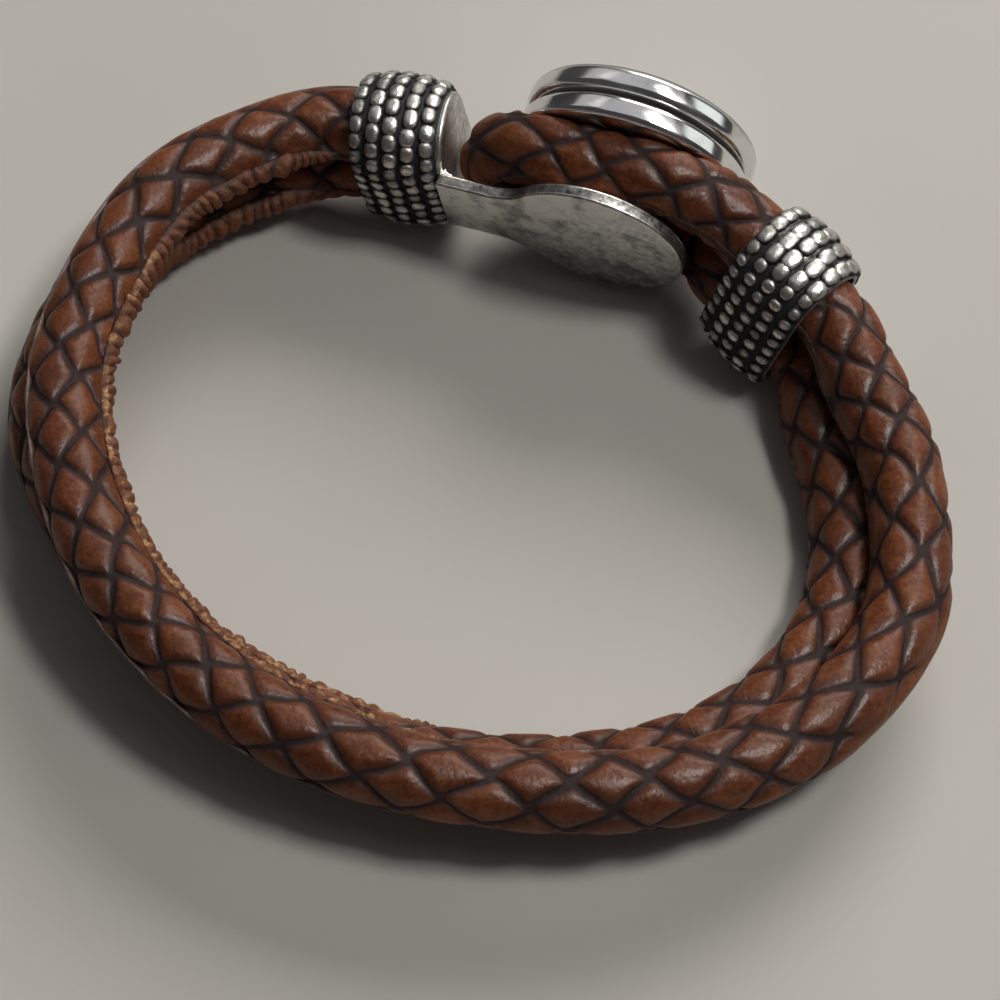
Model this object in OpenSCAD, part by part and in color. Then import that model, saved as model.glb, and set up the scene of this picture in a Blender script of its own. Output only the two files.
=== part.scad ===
// Bracelet of round leather cord with an embossed braid, folded double and closed
// with a snap button. It lies on its side, fastened, as it would by itself.
// The origin is on the surface it lies on, under the middle of the bracelet, +Z up.

/* [Leather cord] */
// Diameter of the cord over the leather
cord_d = 6.1; // [5.9:0.05:6.2]
// Space between the two runs of the cord where the collars hold them
run_gap = 0.2; // [0.15:0.05:0.3]
// Height of the puckered seam above the leather
seam_h = 0.9; // [0.4:0.1:1]
// Width of the seam at its foot, as an angle round the cord
seam_angle = 44; // [36:2:56]
// Radius of the fold round the snap's post, to the middle of the cord
fold_r = 5; // [4.8:0.1:5.2]

/* [Collars] */
// Length of each collar's barrel along the cord
collar_len = 7.2; // [7:0.1:7.4]
// Radius of the barrel between the grains, at its ends
collar_r = 3.7; // [3.65:0.05:3.8]
// How far the middle of the barrel bulges
collar_bulge = 0.65; // [0.5:0.05:0.7]
// Height of the cast grains
grain_h = 0.45; // [0.3:0.05:0.5]
// Rows of grains along a collar
grain_rows = 5; // [4:1:6]
// Grains in one row round a collar
grain_count = 28; // [26:2:30]
// Play of the cord in a collar's bore
bore_play = 0.2; // [0.15:0.01:0.25]

/* [Clasp plate] */
// Diameter of the round end of the plate
plate_d = 14.8; // [14.4:0.1:15]
// Thickness of the plate
plate_t = 1.2; // [1:0.1:1.4]
// Width of the plate's neck
neck_w = 7; // [6:0.1:8]
// Angle by which the collar turns in from the plate, to follow the wrist
collar_bend = 7; // [5:1:9]

/* [Snap] */
// Diameter of the snap's socket ring and charm
snap_d = 19.2; // [18.8:0.1:19.4]
// Height of the loop's outer side over its middle line where the socket presses it
pressed_h = 1.75; // [1.6:0.05:2]
// Height of the socket ring
ring_h = 2; // [1.8:0.1:2.1]
// Diameter of the post that the loop goes round
post_d = 3.6; // [3:0.1:3.8]
// Diameter of the charm's press stud
stud_d = 5.4; // [5:0.1:6]
// Height of the charm's rim
rim_h = 2.2; // [2:0.1:2.4]
// Height of the charm's dome above its rim
dome_h = 1.1; // [0.6:0.1:1.4]
// Dark groove between the ring and the charm
groove_h = 0.4; // [0.3:0.05:0.5]

/* [Posture] */
// Compass angle that the clasp faces, seen from above
clasp_azimuth = 70.5; // [69:0.5:72]
// Angle by which the clasp faces upwards
clasp_tilt = 12; // [11:0.5:13]
// Angle by which the plate rises from the collar
clasp_roll = 4.5; // [4:0.25:5]

/* [Hidden] */
leather = [0.42, 0.19, 0.11];
old_silver = [0.62, 0.61, 0.58];
bright_silver = [0.82, 0.83, 0.85];
$fn = 64;

cord_r = cord_d / 2;
run_half = (cord_d + run_gap) / 2;
bore_r = cord_r + bore_play;
snap_r = snap_d / 2;
edge_r = 0.4;

// Space from the loop to the socket ring and to the plate
seat_gap = 0.15;
plate_gap = 0.4;

// Levels of the clasp along the way it faces, from the middle of the cord
plate_top = -cord_r - plate_gap;
plate_low = plate_top - plate_t;
ring_low = pressed_h + seat_gap;
ring_top = ring_low + ring_h;
charm_low = ring_top + groove_h;
rim_top = charm_low + rim_h;

// Places along the clasp, from the snap's axis: where the loop's upper and lower branch
// become straight, the fold, the plate's round end, the bend before the collar, and the collar
loop_straight = 3;
low_straight = 6.5;
fold_s = -5.45;
plate_s = -0.6;
bend_s = -13.4;
collar_s = -4.5;

// Flange at the collar's closed end, and the floor under the cord ends in it
cap_t = 0.6;
seat_floor = 1;

// Place of the snap's axis, high enough for the collar to stand on the surface
clasp_at = [9.6, 26.8, 9.35];

// Place of the slider collar and the three angles that turn it
slider_at = [22, 17.75, 7.95];
slider_azimuth = 45;
slider_tilt = -8;
slider_roll = -13;

// Middle line of the pair of runs, from the clasp collar round the wrist to the slider.
// Lean is how far the upper run leans outwards, lift how far the lower run is off the surface,
// and dip how far the seams on the wrist side face downwards.
// Columns: x, y, lean, lift, dip
wrist_rows = [
    [-18.4, 32.7, -11, 0.9, 0],
    [-26.8, 27.7, -15, 0.8, 0],
    [-32.3, 19.5, -24, 0.6, 0],
    [-34.6, 9.0, -20, 0.3, 0],
    [-31.8, -1.2, 2, 0, 0],
    [-26.7, -10.2, 15, 0, 2],
    [-19.2, -17.1, 27, 0, 5],
    [-9.5, -21.9, 32, 0, 9],
    [1.3, -23.9, 37, 0, 14],
    [12.1, -23.0, 43, 0, 20],
    [21.5, -18.2, 48, 0, 25],
    [27.8, -9.7, 51, 0, 26],
    [29.0, 0.4, 37, 0, 24],
    [26.7, 9.2, 25, 0.2, 16]
];

function turn_x(v, a) = [v[0], v[1] * cos(a) - v[2] * sin(a), v[1] * sin(a) + v[2] * cos(a)];
function turn_y(v, a) = [v[0] * cos(a) + v[2] * sin(a), v[1], v[2] * cos(a) - v[0] * sin(a)];
function turn_z(v, a) = [v[0] * cos(a) - v[1] * sin(a), v[0] * sin(a) + v[1] * cos(a), v[2]];
function unit(v) = v / norm(v);

// A frame's own axes: x along the cord, y away from the wrist, z across the pair of runs
function face(v, azimuth, tilt, roll) = turn_z(turn_x(turn_y(v, -roll), tilt), azimuth - 90);
function clasp_dir(v) = face(v, clasp_azimuth, clasp_tilt, clasp_roll);
function clasp_pt(v) = clasp_at + clasp_dir(v);
function collar_dir(v) = clasp_dir(turn_z(v, collar_bend));
function collar_pt(v) = clasp_pt([bend_s, 0, 0]) + collar_dir(v + [collar_s, 0, 0]);
function slider_dir(v) = face(v, slider_azimuth, slider_tilt, slider_roll);
function slider_pt(v) = slider_at + slider_dir(v);

// A station of the route is
// [middle of the cord, way away from the wrist, share of the seam's height, turn of the seam]
outwards = [0, 1, 0];
mouth = collar_len / 2;
lead = 0.6;
last_row = len(wrist_rows) - 1;
function wrist_out(i) =
    let (a = wrist_rows[max(i - 1, 0)], b = wrist_rows[min(i + 1, last_row)])
    unit([b[1] - a[1], a[0] - b[0], 0]);
function wrist_station(i, side) =
    let (row = wrist_rows[i], out = wrist_out(i), lean = row[2], low = row[3] + cord_r)
    [
        [row[0], row[1], low + run_half * cos(lean)]
            + side * run_half * (sin(lean) * out + [0, 0, cos(lean)]),
        out,
        1,
        side * row[4]
    ];
function collar_station(x, side) = [collar_pt([x, 0, side * run_half]), collar_dir(outwards), 0, 0];
function slider_station(x, side) = [slider_pt([x, 0, side * run_half]), slider_dir(outwards), 0, 0];
function loop_station(s, q) = [clasp_pt([s, 0, q]), clasp_dir(outwards), 0, 0];

// Between two stations the cord follows a smooth curve with the given ways at its ends
function between(a, b, way_a, way_b, t) =
    let (far = norm(b[0] - a[0]))
    [
        (2 * t * t * t - 3 * t * t + 1) * a[0] + (t * t * t - 2 * t * t + t) * far * way_a
            + (3 * t * t - 2 * t * t * t) * b[0] + (t * t * t - t * t) * far * way_b,
        unit((1 - t) * a[1] + t * b[1]),
        (1 - t) * a[2] + t * b[2],
        (1 - t) * a[3] + t * b[3]
    ];

// One run round the wrist, from the clasp collar's mouth to the slider's outer mouth
run_steps = 5;
function run_knots(side) = concat(
    [collar_station(-mouth - lead, side)],
    [for (i = [0:last_row]) wrist_station(i, side)],
    [slider_station(mouth + lead, side)]
);
function through(before, here, after) = (after - before) / (norm(after - here) + norm(here - before));
function knot_way(knots, i) =
    i == 0 ? collar_dir([-1, 0, 0]) :
    i == len(knots) - 1 ? slider_dir([-1, 0, 0]) :
    through(knots[i - 1][0], knots[i][0], knots[i + 1][0]);
function wrist_line(side) = let (knots = run_knots(side), last = len(knots) - 2) [
    for (i = [0:last])
        for (k = [0:i == last ? run_steps : run_steps - 1])
            between(knots[i], knots[i + 1], knot_way(knots, i), knot_way(knots, i + 1), k / run_steps)
];

// The loop: from the slider past the post, round the fold and back
loop_steps = 6;
function loop_side(side) = [
    for (k = [0:loop_steps])
        between(
            slider_station(-mouth - lead, side),
            loop_station(side > 0 ? loop_straight : low_straight, side * fold_r),
            slider_dir([-1, 0, 0]), clasp_dir([-1, 0, 0]), k / loop_steps
        )
];
fold_steps = 14;
fold_line = [
    for (k = [0:fold_steps])
        let (a = 90 - 180 * k / fold_steps)
        loop_station(fold_s - fold_r * cos(a), fold_r * sin(a))
];
function backwards(list) = [for (i = [len(list) - 1:-1:0]) list[i]];

function half_route(side) = concat(
    [for (x = [mouth - seat_floor - 0.2, 0, lead - mouth]) collar_station(x, side)],
    wrist_line(side),
    [for (x = [mouth - lead, 0, lead - mouth]) slider_station(x, side)],
    loop_side(side),
    [loop_station(-1, side * fold_r)]
);
route = concat(half_route(1), fold_line, backwards(half_route(-1)));

// Where the loop passes under the socket ring, its outer side is pressed flat
function pressed(p) =
    let (
        q = p - clasp_at,
        high = q * clasp_dir([0, 1, 0]),
        from_axis = norm([q * clasp_dir([1, 0, 0]), q * clasp_dir([0, 0, 1])]),
        ceiling = pressed_h + 1.5 * max(0, from_axis - snap_r - 1)
    )
    p - max(0, high - ceiling) * clasp_dir([0, 1, 0]);

// The cord's section: round, with the seam as a ridge on the side that faces the wrist
round_sides = 14;
section_angles = concat(
    [0],
    [for (k = [0:round_sides]) seam_angle / 2 + (360 - seam_angle) * k / round_sides]
);
sides = len(section_angles);
function cord_ring(i) =
    let (
        here = route[i],
        along = unit(route[min(i + 1, len(route) - 1)][0] - route[max(i - 1, 0)][0]),
        out = unit(here[1] - (here[1] * along) * along),
        side = cross(along, out)
    )
    [
        for (k = [0:sides - 1])
            let (a = section_angles[k] + here[3], r = cord_r + (k == 0 ? seam_h * here[2] : 0))
            pressed(here[0] + r * (sin(a) * side - cos(a) * out))
    ];
function ring_faces(rings, n) = concat(
    [[for (k = [n - 1:-1:0]) k]],
    [
        for (i = [0:rings - 2])
            for (k = [0:n - 1])
                let (a = i * n + k, b = i * n + (k + 1) % n)
                each [[a, b, a + n], [b, b + n, a + n]]
    ],
    [[for (k = [0:n - 1]) (rings - 1) * n + k]]
);
cord_points = [for (i = [0:len(route) - 1]) each cord_ring(i)];

// A place round a collar, as [middle of the bend, way outwards], after a length w of outline
outline_r = collar_r + collar_bulge;
flat = 2 * run_half;
bend = PI * outline_r;
function outline_place(w) =
    w < flat ? [[0, 0, run_half - w], [0, 1, 0]] :
    w < flat + bend ? let (a = 180 * (w - flat) / bend) [[0, 0, -run_half], [0, cos(a), -sin(a)]] :
    w < 2 * flat + bend ? [[0, 0, w - flat - bend - run_half], [0, -1, 0]] :
    let (a = 180 * (w - 2 * flat - bend) / bend) [[0, 0, run_half], [0, -cos(a), sin(a)]];

// The barrel with its rows of cast grains, each grain a small raised point
outline_steps = 2 * grain_count;
barrel_steps = 2 * grain_rows;
function barrel_ring(j) =
    let (
        x = collar_len * (j / barrel_steps - 0.5),
        base = collar_r + collar_bulge * (1 - pow(x / mouth, 2)),
        row = floor(j / 2)
    )
    [
        for (i = [0:outline_steps - 1])
            let (
                place = outline_place(2 * (flat + bend) * i / outline_steps),
                raised = j % 2 == 1 && (i + row) % 2 == 1
            )
            [x, 0, 0] + place[0] + (base + (raised ? grain_h : 0)) * place[1]
    ];
function barrel_faces() =
    let (n = outline_steps, ends = (barrel_steps + 1) * n)
    concat(
        [for (k = [0:n - 1]) [ends, (k + 1) % n, k]],
        [
            for (j = [0:barrel_steps - 1])
                for (i = [0:n - 1])
                    let (
                        a = j * n + i,
                        b = j * n + (i + 1) % n,
                        peak_at_i = (i % 2 == 1) == (floor(j / 2) % 2 == 0),
                        peak_low = j % 2 == 1
                    )
                    each peak_at_i == peak_low
                        ? [[a, b + n, a + n], [a, b, b + n]]
                        : [[a, b, a + n], [b, b + n, a + n]]
        ],
        [for (k = [0:n - 1]) [ends + 1, barrel_steps * n + k, barrel_steps * n + (k + 1) % n]]
    );

// Middle and lowest point of the bracelet, from its own outline
cast_points = [
    for (j = [0:barrel_steps])
        for (p = barrel_ring(j))
            each [collar_pt(p), slider_pt(p)]
];
outline = concat(cord_points, cast_points);
xs = [for (p = outline) p[0]];
ys = [for (p = outline) p[1]];
zs = [for (p = outline) p[2]];
middle = [(max(xs) + min(xs)) / 2, (max(ys) + min(ys)) / 2, min(zs)];

module at_clasp() {
    translate(clasp_at - middle)
        rotate([0, 0, clasp_azimuth - 90])
            rotate([clasp_tilt, 0, 0])
                rotate([0, -clasp_roll, 0])
                    children();
}

module at_collar() {
    at_clasp()
        translate([bend_s, 0, 0])
            rotate([0, 0, collar_bend])
                translate([collar_s, 0, 0])
                    children();
}

module at_slider() {
    translate(slider_at - middle)
        rotate([0, 0, slider_azimuth - 90])
            rotate([slider_tilt, 0, 0])
                rotate([0, -slider_roll, 0])
                    children();
}

// The long round outline of a collar's section, drawn along X and standing along x
module long_round(r, x0, x1) {
    translate([x0, 0, 0])
        rotate([0, 90, 0])
            linear_extrude(height = x1 - x0) {
                translate([-run_half, 0]) circle(r);
                translate([run_half, 0]) circle(r);
                square([2 * run_half, 2 * r], center = true);
            }
}

module barrel() {
    rings = [for (j = [0:barrel_steps]) each barrel_ring(j)];
    ends = [[-mouth, 0, 0], [mouth, 0, 0]];
    polyhedron(points = concat(rings, ends), faces = barrel_faces());
}

// A round plate about the snap's axis, from level y0 to y1, with rounded edges
module snap_disc(r, y0, y1, round_r) {
    rotate([-90, 0, 0])
        rotate_extrude()
            union() {
                translate([0, y0]) square([r - round_r, y1 - y0]);
                translate([0, y0 + round_r]) square([r, y1 - y0 - 2 * round_r]);
                translate([r - round_r, y0 + round_r]) circle(round_r);
                translate([r - round_r, y1 - round_r]) circle(round_r);
            }
}

module leather_cord() {
    color(leather)
        translate(-middle)
            polyhedron(points = cord_points, faces = ring_faces(len(route), sides));
}

module clasp_casting() {
    stud_play = 0.08;
    plate_edge = 0.3;
    color(old_silver) {
        at_collar() {
            difference() {
                barrel();
                long_round(bore_r, -mouth - 1, mouth - seat_floor);
            }
            long_round(collar_r - 0.2, mouth - 0.5, mouth + cap_t);
            translate([mouth + 0.1, plate_low, -neck_w / 2]) cube([cap_t + 0.2, plate_t + 0.8, neck_w]);
        }
        at_clasp() {
            translate([plate_s, 0, 0]) snap_disc(plate_d / 2, plate_low, plate_top, plate_edge);
            translate([bend_s - 0.1, plate_low, -neck_w / 2]) cube([-bend_s, plate_t, neck_w]);
            translate([0, plate_top - 0.3, 0])
                rotate([-90, 0, 0])
                    cylinder(d = post_d, h = ring_low - plate_top + 0.6);
            difference() {
                snap_disc(snap_r, ring_low, ring_top, edge_r);
                translate([0, ring_low + 0.5, 0])
                    rotate([-90, 0, 0])
                        cylinder(d = stud_d + 2 * stud_play, h = ring_h);
            }
        }
    }
}

module slider_collar() {
    color(old_silver)
        at_slider()
            difference() {
                barrel();
                long_round(bore_r, -mouth - 1, mouth + 1);
            }
}

module snap_charm() {
    dome_r = snap_r - 0.7;
    dome_ball = (dome_r * dome_r + dome_h * dome_h) / (2 * dome_h);
    color(bright_silver)
        at_clasp() {
            snap_disc(snap_r, charm_low, rim_top, edge_r);
            translate([0, charm_low - 1.3, 0])
                rotate([-90, 0, 0])
                    cylinder(d = stud_d, h = 1.6);
            rotate([-90, 0, 0])
                rotate_extrude()
                    intersection() {
                        translate([0, rim_top + dome_h - dome_ball]) circle(dome_ball, $fn = 256);
                        translate([0, rim_top - 0.2]) square([dome_r, dome_h + 1]);
                    }
        }
}

leather_cord();
clasp_casting();
slider_collar();
snap_charm();
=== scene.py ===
import bpy
import math
import numpy as np
from mathutils import Matrix, Vector


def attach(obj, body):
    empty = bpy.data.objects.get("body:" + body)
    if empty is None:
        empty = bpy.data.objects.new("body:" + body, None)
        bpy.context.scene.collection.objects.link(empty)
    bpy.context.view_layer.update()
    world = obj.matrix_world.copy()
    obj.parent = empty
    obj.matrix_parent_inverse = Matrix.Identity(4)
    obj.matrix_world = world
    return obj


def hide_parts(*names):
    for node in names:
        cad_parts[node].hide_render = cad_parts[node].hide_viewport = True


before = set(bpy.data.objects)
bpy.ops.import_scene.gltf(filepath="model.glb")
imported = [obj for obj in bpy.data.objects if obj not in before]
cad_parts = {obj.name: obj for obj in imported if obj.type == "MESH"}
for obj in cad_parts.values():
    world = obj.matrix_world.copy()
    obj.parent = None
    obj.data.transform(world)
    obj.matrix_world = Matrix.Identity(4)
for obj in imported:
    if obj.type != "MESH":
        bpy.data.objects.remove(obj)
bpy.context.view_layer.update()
bpy.ops.object.select_all(action="DESELECT")


# VIEW, FLOOR AND LIGHT
# A plain pale table top, a large soft window light from behind on the right and weaker light
# from the left. The camera looks down at the bracelet from in front, 58 degrees above the table.
def add(tree, kind, inputs=None, **settings):
    made = tree.nodes.new(kind)
    for name, value in settings.items():
        setattr(made, name, value)
    for name, value in (inputs or {}).items():
        if isinstance(value, bpy.types.NodeSocket):
            tree.links.new(value, made.inputs[name])
        else:
            made.inputs[name].default_value = value
    return made


def new_material(name):
    made = bpy.data.materials.new(name)
    made.use_nodes = True
    made.node_tree.nodes.clear()
    return made, made.node_tree


def noise(tree, place, scale, detail, roughness=0.5):
    inputs = {"Vector": place, "Scale": scale, "Detail": detail, "Roughness": roughness}
    return add(tree, "ShaderNodeTexNoise", inputs).outputs["Fac"]


def ramp(tree, value, *stops):
    made = tree.nodes.new("ShaderNodeValToRGB")
    tree.links.new(value, made.inputs["Fac"])
    band = made.color_ramp
    while len(band.elements) < len(stops):
        band.elements.new(0.5)
    for element, (position, colour) in zip(band.elements, stops):
        element.position = position
        element.color = (*colour, 1) if isinstance(colour, tuple) else (colour, colour, colour, 1)
    return made.outputs["Color"]


def surface(tree, inputs):
    """The principled shader with these inputs, joined to the material's output."""
    shader = add(tree, "ShaderNodeBsdfPrincipled", inputs)
    add(tree, "ShaderNodeOutputMaterial", {"Surface": shader.outputs["BSDF"]})


view_angle = math.radians(58)
view_distance = 0.245
look_at = Vector((0.0022846, -0.004493, 0.0060208))
lens = bpy.data.cameras.new("camera")
lens.lens = 115.2
lens.sensor_width = 36
lens.clip_start = 0.01
camera = bpy.data.objects.new("camera", lens)
camera.location = look_at + view_distance * Vector((0, -math.cos(view_angle), math.sin(view_angle)))
camera.rotation_euler = (math.pi / 2 - view_angle, 0, 0)
bpy.context.scene.collection.objects.link(camera)
bpy.context.scene.camera = camera

bpy.ops.mesh.primitive_plane_add(size=4, location=(0, 0, -0.00003))
floor = bpy.context.object
floor.name = "floor"
floor_paint, tree = new_material("pale_table_top")
place = add(tree, "ShaderNodeTexCoord").outputs["Object"]
cloudy = noise(tree, place, 9.0, 4.0)
table_colour = ramp(tree, cloudy, (0.35, (0.57, 0.545, 0.50)), (0.7, (0.64, 0.61, 0.56)))
surface(tree, {"Base Color": table_colour, "Roughness": 0.75})
floor.data.materials.append(floor_paint)

# Columns: name, place, size, power, colour, lights the table
lights = [
    ("window", (0.22, 0.48, 0.40), (0.42, 0.30), 2.90, (1.0, 0.98, 0.95), True),
    ("lamp", (0.25, -0.05, 0.53), (0.11, 0.09), 1.00, (1.0, 0.98, 0.95), True),
    ("lamp_card", (0.21, -0.11, 0.56), (0.17, 0.13), 3.30, (1.0, 0.98, 0.96), False),
    ("ceiling_card", (0.0, 0.10, 0.62), (0.95, 0.60), 0.75, (0.98, 0.98, 1.0), False),
    ("left_card", (-0.29, 0.28, 0.38), (0.50, 0.24), 0.16, (1.0, 0.97, 0.94), False),
    ("white_card", (0.20, 0.08, 0.56), (0.17, 0.14), 0.14, (1.0, 1.0, 0.99), False),
    ("right_card", (0.50, 0.04, 0.26), (0.30, 0.30), 0.28, (0.94, 1.0, 0.96), False),
]
for name, spot, size, power, colour, lights_all in lights:
    lamp = bpy.data.lights.new(name, "AREA")
    lamp.shape = "RECTANGLE"
    lamp.size, lamp.size_y = size
    lamp.energy = power
    lamp.color = colour
    holder = bpy.data.objects.new(name, lamp)
    holder.location = spot
    holder.rotation_euler = (Vector((0, 0, 0.01)) - Vector(spot)).to_track_quat("-Z", "Y").to_euler()
    holder.visible_diffuse = lights_all
    bpy.context.scene.collection.objects.link(holder)

world = bpy.data.worlds.new("room")
world.use_nodes = True
world.node_tree.nodes["Background"].inputs["Color"].default_value = (0.86, 0.88, 0.92, 1)
world.node_tree.nodes["Background"].inputs["Strength"].default_value = 0.06
bpy.context.scene.world = world
bpy.context.scene.view_settings.view_transform = "Standard"


# LEATHER CORD
# One length of round stitched leather, pressed with a braid pattern and waxed brown. It is folded
# double: the fold is the closing loop, and both ends are glued in the clasp collar.
# Lengths are in mm and angles in degrees from here on, and each mesh is then made in metres.
mm = 0.001
middle = np.array((-2.28459, 4.49301, -0.0207982))
cord_r = 3.05
run_half = 3.15
seam_h = 0.9
fold_r = 5.0
collar_len = 7.2
lead = 0.6
seat_floor = 1.0
snap_r = 9.6
pressed_h = 1.75
clasp_at, clasp_turn = (9.6, 26.8, 9.35), (70.5, 12, 4.5)
slider_at, slider_turn = (22, 17.75, 7.95), (45, -8, -13)
bend_s, collar_s, collar_bend = -13.4, -4.5, 7
loop_straight, low_straight, fold_s = 3, 6.5, -5.45
end_gap = 0.2
wrist_steps, loop_steps = 40, 60
look_ahead = 0.5
press_edge, press_slope, press_soft = 0.7, 1.5, 0.12
# Columns: x, y, lean, lift, dip of the seam
wrist_rows = [
    (-18.4, 32.7, -11, 0.9, 0),
    (-26.8, 27.7, -15, 0.8, 0),
    (-32.3, 19.5, -24, 0.6, 0),
    (-34.6, 9.0, -20, 0.3, 0),
    (-31.8, -1.2, 2, 0, 0),
    (-26.7, -10.2, 15, 0, 2),
    (-19.2, -17.1, 27, 0, 5),
    (-9.5, -21.9, 32, 0, 9),
    (1.3, -23.9, 37, 0, 14),
    (12.1, -23.0, 43, 0, 20),
    (21.5, -18.2, 48, 0, 22),
    (27.8, -9.7, 51, 0, 18),
    (29.0, 0.4, 37, 0, 14),
    (26.7, 9.2, 25, 0.2, 9),
]


def own_frame(at, azimuth, tilt, roll):
    """A frame with x along the cord, y away from the wrist and z across the pair of runs."""
    return (
        Matrix.Translation(Vector(at) - Vector(middle))
        @ Matrix.Rotation(math.radians(azimuth - 90), 4, "Z")
        @ Matrix.Rotation(math.radians(tilt), 4, "X")
        @ Matrix.Rotation(math.radians(-roll), 4, "Y")
    )


clasp_frame = own_frame(clasp_at, *clasp_turn)
collar_frame = (
    clasp_frame
    @ Matrix.Translation((bend_s, 0, 0))
    @ Matrix.Rotation(math.radians(collar_bend), 4, "Z")
    @ Matrix.Translation((collar_s, 0, 0))
)
slider_frame = own_frame(slider_at, *slider_turn)
mouth = collar_len / 2


def unit(v):
    return v / np.linalg.norm(v, axis=-1, keepdims=True)


def station(place, x, z):
    """A place on a run in a casting's frame: its middle, the way out, share of the seam and its dip."""
    turn = np.array(place.to_3x3())
    return turn @ (x, 0, z) + np.array(place.translation), turn @ (0, 1, 0), 0.0, 0.0


def wrist_station(i, side):
    """The same for row i of the wrist table, on the upper run (side 1) or the lower one (side -1)."""
    x, y, lean, lift, dip = wrist_rows[i]
    a = wrist_rows[max(i - 1, 0)]
    b = wrist_rows[min(i + 1, len(wrist_rows) - 1)]
    out = unit(np.array((b[1] - a[1], a[0] - b[0], 0.0)))
    lean = math.radians(lean)
    spot = np.array((x, y, lift + cord_r + run_half * math.cos(lean)))
    spot = spot + side * run_half * (math.sin(lean) * out + np.array((0, 0, math.cos(lean))))
    return spot - middle, out, 1.0, side * math.radians(dip)


def between(a, b, way_a, way_b, steps):
    """A smooth curve of places from a to b, which leaves along way_a and arrives along way_b."""
    far = np.linalg.norm(b[0] - a[0])
    t = (np.arange(steps) / steps)[:, None]
    spots = (2 * t**3 - 3 * t**2 + 1) * a[0] + (t**3 - 2 * t**2 + t) * far * way_a
    spots = spots + (3 * t**2 - 2 * t**3) * b[0] + (t**3 - t**2) * far * way_b
    share, dip = (((1 - t) * a[n] + t * b[n])[:, 0] for n in (2, 3))
    return spots, unit((1 - t) * a[1] + t * b[1]), share, dip


def along(place):
    """The way the cord runs through a casting."""
    return np.array(place.to_3x3()) @ (-1, 0, 0)


def straight(stations):
    """Places in a row, as one array for each of their four values."""
    return tuple(np.array([one[n] for one in stations]) for n in range(4))


def half_route(side):
    """One run of the cord, from its seat in the clasp collar round the wrist to the fold."""
    z = side * run_half
    seated = (mouth - seat_floor - end_gap, 0, -mouth + lead)
    parts = [straight([station(collar_frame, x, z) for x in seated])]
    knots = [station(collar_frame, -mouth - lead, z)]
    knots += [wrist_station(i, side) for i in range(len(wrist_rows))]
    knots += [station(slider_frame, mouth + lead, z)]
    ways = [along(collar_frame)]
    for before, here, after in zip(knots, knots[1:], knots[2:]):
        far = np.linalg.norm(after[0] - here[0]) + np.linalg.norm(here[0] - before[0])
        ways.append((after[0] - before[0]) / far)
    ways.append(along(slider_frame))
    for i in range(len(knots) - 1):
        parts.append(between(knots[i], knots[i + 1], ways[i], ways[i + 1], wrist_steps))
    parts.append(straight([station(slider_frame, x, z) for x in (mouth - lead, 0, -mouth + lead)]))
    parts.append(between(
        station(slider_frame, -mouth - lead, z),
        station(clasp_frame, loop_straight if side > 0 else low_straight, side * fold_r),
        along(slider_frame), along(clasp_frame), loop_steps,
    ))
    parts.append(straight([station(clasp_frame, -1, side * fold_r)]))
    return parts


fold = straight([
    station(clasp_frame, fold_s - fold_r * math.cos(a), fold_r * math.sin(a))
    for a in np.radians(np.linspace(90, -90, loop_steps))
])
there, back = half_route(1), half_route(-1)
route = there + [fold] + [tuple(x[::-1] for x in part) for part in back[::-1]]
route_p, route_out, route_share, route_dip = (np.concatenate([part[n] for part in route]) for n in range(4))
route_s = np.r_[0, np.linalg.norm(np.diff(route_p, axis=0), axis=1).cumsum()]
cord_length = route_s[-1]


def cord_places(s):
    """Middle of the cord, way out, way across, share of the seam and its dip, at lengths s."""
    def between_rows(table, at):
        return np.stack([np.interp(at, route_s, table[:, k]) for k in range(3)], axis=1)

    spot, out = between_rows(route_p, s), between_rows(route_out, s)
    ahead = unit(between_rows(route_p, s + look_ahead) - between_rows(route_p, s - look_ahead))
    out = unit(out - (out * ahead).sum(1, keepdims=True) * ahead)
    share, dip = (np.interp(s, route_s, table) for table in (route_share, route_dip))
    return spot, out, np.cross(ahead, out), share, dip


def pressed(p):
    """The loop is squeezed flat under the socket of the snap, and swells up again round its edge."""
    turn = np.array(clasp_frame.to_3x3())
    q = (p - np.array(clasp_frame.translation)) @ turn
    ceiling = pressed_h + press_slope * np.maximum(0, np.hypot(q[:, 0], q[:, 2]) - snap_r - press_edge)
    q[:, 1] = ceiling - press_soft * np.logaddexp(0, (ceiling - q[:, 1]) / press_soft)
    return q @ turn.T + np.array(clasp_frame.translation)


# The pressed pads: lozenges in rows round the cord, each row half a pad on from the next. The
# pattern was rolled on by hand, so its pitch and its turn round the cord wander.
row_pitch = 2.46
pad_depth = 0.31
pad_skew = (0.04, -0.12)
pad_round = 8.0
pad_drift = 0.035
pad_crown = 0.15
groove_share, groove_edge = 0.75, 0.58
table_step, table_size, table_ease = 0.5, 760, 4
# Low on the outer side of the sharpest bend: lengths at which the smooth part and the bulge start and
# are full, lengths at which both fade, and the same round the cord
plain_start, bulge_start, bend_end = (118, 123), (100, 118), (130, 138)
bend_low, bend_high = (80, 105), (158, 180)
plain_share, bulge_h = 0.9, 0.32
# The foot of the seam: half its width in the castings, what it gains round the wrist, its soft edge,
# how deep the leather dips under it, and the share of the seam's height that is leather
foot_half, foot_gain = 14, 10
foot_edge = (0.75, 1.1)
foot_dip = 0.12
foot_share = 0.45
# Columns: height of a shallow wave in the leather, its length over 2 pi, its turns round the cord
leather_waves = [(0.03, 2.9, 2), (0.02, 1.7, -3)]
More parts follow.
